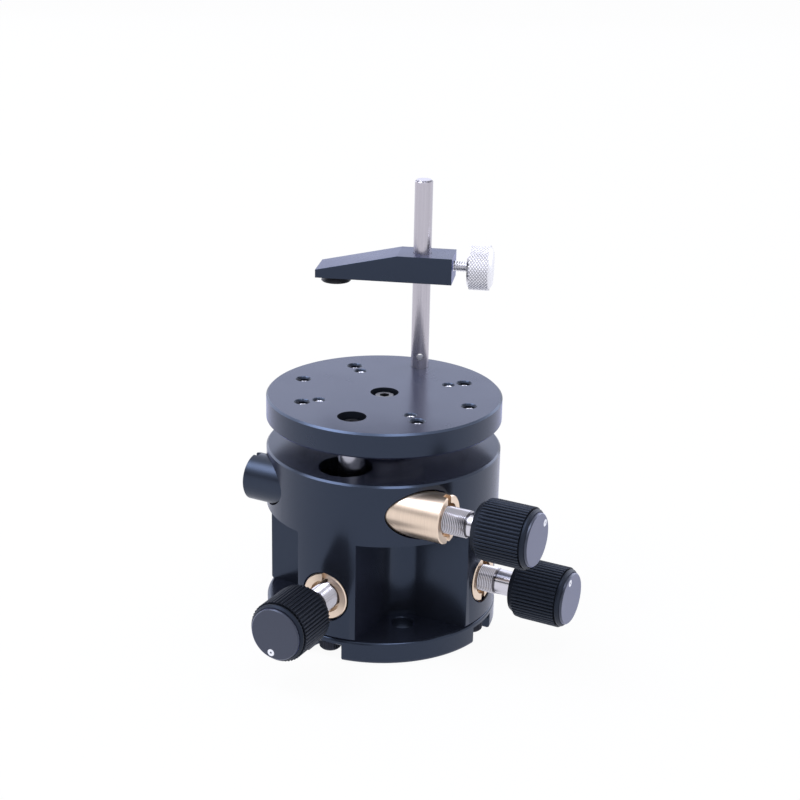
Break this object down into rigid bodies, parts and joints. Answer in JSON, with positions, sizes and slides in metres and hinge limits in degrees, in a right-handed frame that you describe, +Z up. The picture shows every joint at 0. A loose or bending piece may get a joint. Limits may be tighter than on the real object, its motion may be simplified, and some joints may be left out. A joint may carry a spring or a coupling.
{
  "type": "prism mount",
  "caption": "Round tip, tilt and yaw stage with a drilled platform on a gimballed lever, fine-thread knobs, and a clamp arm that slides on a post over the platform.",
  "frame": {"origin": "centre of the base plate's underside", "axes": "+Z up along the housing's axis, +X towards the side and yaw adjusters, -Y towards the front adjuster"},
  "size_m": [0.0894, 0.0935, 0.1194],
  "materials": {
    "anodised_aluminium": "satin black anodised",
    "brass": "turned",
    "stainless_steel": "turned and polished",
    "hardened_steel": "ground",
    "nickel_plate": "knurled nickel plate",
    "black_steel": "black oxide",
    "knob_aluminium": "black anodised, ridged",
    "black_nylon": "matte",
    "white_nylon": "matte"
  },
  "bodies": {
    "base": {"base_plate": "anodised_aluminium", "housing": "anodised_aluminium", "base_screws": "black_steel", "gimbal_seat": "stainless_steel", "seat_pins": "hardened_steel", "yaw_bush": "brass", "side_bush": "brass", "front_bush": "brass", "yaw_tube": "anodised_aluminium", "side_tube": "anodised_aluminium", "front_tube": "anodised_aluminium", "yaw_spring": "stainless_steel", "side_spring": "stainless_steel", "front_spring": "stainless_steel"},
    "gimbal": {"gimbal_ring": "brass", "lever_pin": "hardened_steel"},
    "lever": {"lever": "stainless_steel", "foot_pads": "hardened_steel", "thrust_washer": "white_nylon", "centre_screw": "black_steel"},
    "platform": {"platform": "anodised_aluminium", "yaw_pin": "hardened_steel", "yaw_pin_screw": "black_steel"},
    "post": {"post": "stainless_steel"},
    "clamp": {"clamp_arm": "anodised_aluminium", "clamp_foot": "black_nylon"},
    "thumb_screw": {"thumb_screw": "nickel_plate"},
    "yaw_tip": {"yaw_tip": "hardened_steel"},
    "yaw_knob": {"yaw_screw": "stainless_steel", "yaw_knob": "knob_aluminium", "yaw_cap": "knob_aluminium"},
    "yaw_plunger": {"yaw_plunger": "hardened_steel"},
    "side_tip": {"side_tip": "hardened_steel"},
    "side_knob": {"side_screw": "stainless_steel", "side_knob": "knob_aluminium", "side_cap": "knob_aluminium"},
    "side_plunger": {"side_plunger": "hardened_steel"},
    "front_tip": {"front_tip": "hardened_steel"},
    "front_knob": {"front_screw": "stainless_steel", "front_knob": "knob_aluminium", "front_cap": "knob_aluminium"},
    "front_plunger": {"front_plunger": "hardened_steel"}
  },
  "joints": [
    {"name": "side_tilt", "type": "hinge", "parent": "base", "child": "gimbal", "pos_m": [0, 0, 0.0428], "axis": [0, 1, 0], "range_deg": [-3.1, 3.1]},
    {"name": "front_tilt", "type": "hinge", "parent": "gimbal", "child": "lever", "pos_m": [0, 0, 0.0428], "axis": [1, 0, 0], "range_deg": [-3.1, 3.1]},
    {"name": "platform_yaw", "type": "hinge", "parent": "lever", "child": "platform", "pos_m": [0, 0, 0.06], "axis": [0, 0, 1], "range_deg": [-9.6, 0.6]},
    {"name": "arm_swing", "type": "hinge", "parent": "platform", "child": "post", "pos_m": [-0.00192, 0.02442, 0.0656], "axis": [0, 0, 1], "continuous": true},
    {"name": "arm_height", "type": "slide", "parent": "post", "child": "clamp", "axis": [0, 0, 1], "range_m": [-0.023, 0.0195]},
    {"name": "thumb_screw_turn", "type": "hinge", "parent": "clamp", "child": "thumb_screw", "pos_m": [0.01022, 0.02877, 0.0955], "axis": [0.9415, 0.3371, 0], "range_deg": [0, 1080]},
    {"name": "yaw_tip_travel", "type": "slide", "parent": "base", "child": "yaw_tip", "axis": [1, 0, 0], "range_m": [-0.00348, 0.00018]},
    {"name": "yaw_knob_turn", "type": "hinge", "parent": "yaw_tip", "child": "yaw_knob", "pos_m": [0.045, -0.021, 0.0428], "axis": [1, 0, 0], "range_deg": [-2520, 135]},
    {"name": "yaw_plunger_travel", "type": "slide", "parent": "base", "child": "yaw_plunger", "axis": [1, 0, 0], "range_m": [-0.00352, 0.00022], "deforming": ["yaw_spring"]},
    {"name": "side_tip_travel", "type": "slide", "parent": "base", "child": "side_tip", "axis": [1, 0, 0], "range_m": [-0.0013, 0.0013]},
    {"name": "side_knob_turn", "type": "hinge", "parent": "side_tip", "child": "side_knob", "pos_m": [0.045, 0, 0.0178], "axis": [1, 0, 0], "range_deg": [-945, 945]},
    {"name": "side_plunger_travel", "type": "slide", "parent": "base", "child": "side_plunger", "axis": [1, 0, 0], "range_m": [-0.00134, 0.00134], "deforming": ["side_spring"]},
    {"name": "front_tip_travel", "type": "slide", "parent": "base", "child": "front_tip", "axis": [0, -1, 0], "range_m": [-0.0013, 0.0013]},
    {"name": "front_knob_turn", "type": "hinge", "parent": "front_tip", "child": "front_knob", "pos_m": [0, -0.045, 0.0178], "axis": [0, -1, 0], "range_deg": [-945, 945]},
    {"name": "front_plunger_travel", "type": "slide", "parent": "base", "child": "front_plunger", "axis": [0, -1, 0], "range_m": [-0.00134, 0.00134], "deforming": ["front_spring"]}
  ],
  "couplings": [
    {"joint": "yaw_knob_turn", "follows": "yaw_tip_travel", "rad_per_m": 12566},
    {"joint": "yaw_plunger_travel", "follows": "yaw_tip_travel", "ratio": 1},
    {"joint": "platform_yaw", "follows": "yaw_tip_travel", "rad_per_m": 47.619},
    {"joint": "side_knob_turn", "follows": "side_tip_travel", "rad_per_m": 12566},
    {"joint": "side_plunger_travel", "follows": "side_tip_travel", "ratio": 1},
    {"joint": "side_tilt", "follows": "side_tip_travel", "rad_per_m": -40},
    {"joint": "front_knob_turn", "follows": "front_tip_travel", "rad_per_m": 12566},
    {"joint": "front_plunger_travel", "follows": "front_tip_travel", "ratio": 1},
    {"joint": "front_tilt", "follows": "front_tip_travel", "rad_per_m": -40}
  ]
}
